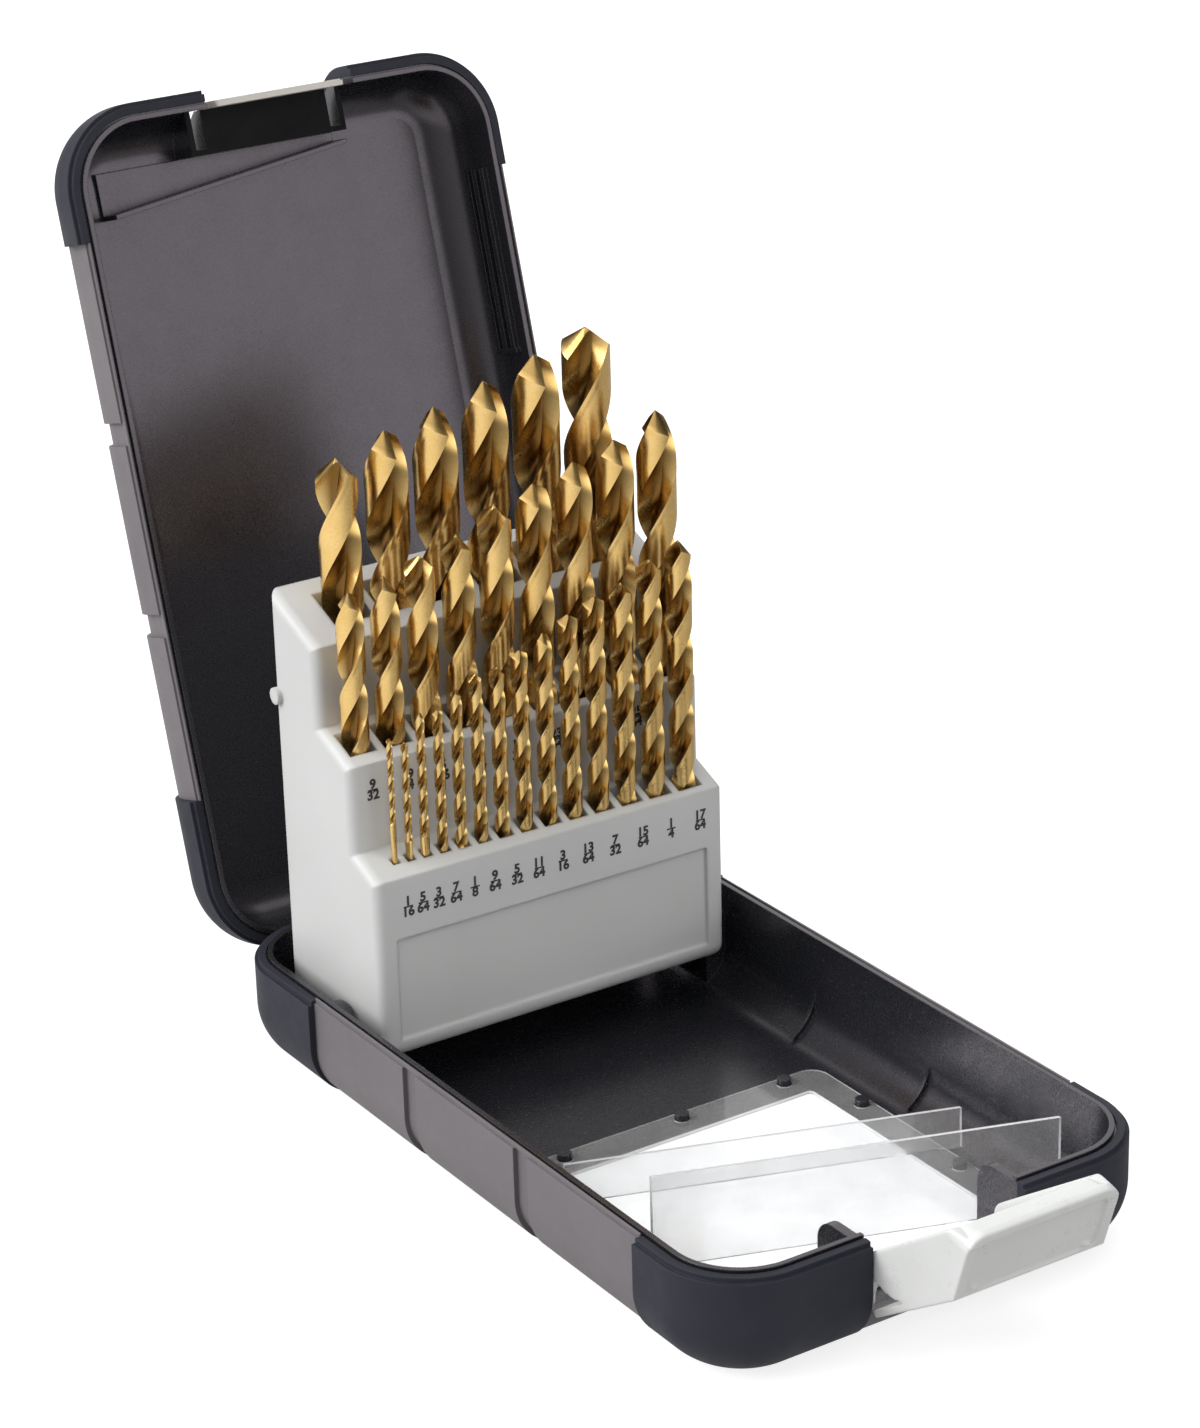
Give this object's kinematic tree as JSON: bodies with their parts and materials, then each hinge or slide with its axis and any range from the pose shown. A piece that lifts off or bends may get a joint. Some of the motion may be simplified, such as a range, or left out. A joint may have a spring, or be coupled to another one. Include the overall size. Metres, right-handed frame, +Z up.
{
  "type": "drill bit case",
  "caption": "Hinged case with corner bumpers and a swinging latch whose coupled holder stands graded twist drills up as the lid opens.",
  "frame": {"origin": "middle of the base's underside", "axes": "+X across the case, -Y towards the latch, +Y towards the hinge, +Z up"},
  "size_m": [0.1274, 0.3351, 0.2343],
  "materials": {
    "shell_plastic": "moulded, fine satin texture",
    "bumper_rubber": "moulded soft rubber",
    "holder_plastic": "moulded satin",
    "latch_plastic": "translucent moulded",
    "clear_plastic": "clear, polished",
    "pin_steel": "drawn wire",
    "coated_steel": "golden hard coating on ground steel"
  },
  "bodies": {
    "base": {"base_shell": "shell_plastic", "window_insert": "clear_plastic", "hinge_pin": "pin_steel", "base_bumper_back_left": "bumper_rubber", "base_bumper_back_right": "bumper_rubber", "base_bumper_front_left": "bumper_rubber", "base_bumper_front_right": "bumper_rubber"},
    "lid": {"lid_shell": "shell_plastic", "lid_bumper_back_left": "bumper_rubber", "lid_bumper_back_right": "bumper_rubber", "lid_bumper_front_left": "bumper_rubber", "lid_bumper_front_right": "bumper_rubber"},
    "holder": {"bit_holder": "holder_plastic", "drill_11_32": "coated_steel", "drill_11_64": "coated_steel", "drill_13_32": "coated_steel", "drill_13_64": "coated_steel", "drill_15_32": "coated_steel", "drill_15_64": "coated_steel", "drill_17_64": "coated_steel", "drill_19_64": "coated_steel", "drill_1_16": "coated_steel", "drill_1_2": "coated_steel", "drill_1_4": "coated_steel", "drill_1_8": "coated_steel", "drill_21_64": "coated_steel", "drill_23_64": "coated_steel", "drill_25_64": "coated_steel", "drill_27_64": "coated_steel", "drill_29_64": "coated_steel", "drill_31_64": "coated_steel", "drill_3_16": "coated_steel", "drill_3_32": "coated_steel", "drill_3_8": "coated_steel", "drill_5_16": "coated_steel", "drill_5_32": "coated_steel", "drill_5_64": "coated_steel", "drill_7_16": "coated_steel", "drill_7_32": "coated_steel", "drill_7_64": "coated_steel", "drill_9_32": "coated_steel", "drill_9_64": "coated_steel"},
    "latch": {"latch": "latch_plastic"}
  },
  "joints": [
    {"name": "lid_hinge", "type": "hinge", "parent": "base", "child": "lid", "pos_m": [0, 0.1078, 0.026], "axis": [1, 0, 0], "range_deg": [0, 106.1]},
    {"name": "holder_pivot", "type": "hinge", "parent": "base", "child": "holder", "pos_m": [0, 0.0676, 0.0199], "axis": [1, 0, 0], "range_deg": [0, 90]},
    {"name": "latch_pivot", "type": "hinge", "parent": "base", "child": "latch", "pos_m": [0, -0.1055, 0.0135], "axis": [1, 0, 0], "range_deg": [-56, 0]}
  ],
  "couplings": [
    {"joint": "holder_pivot", "follows": "lid_hinge", "ratio": 0.84825}
  ]
}
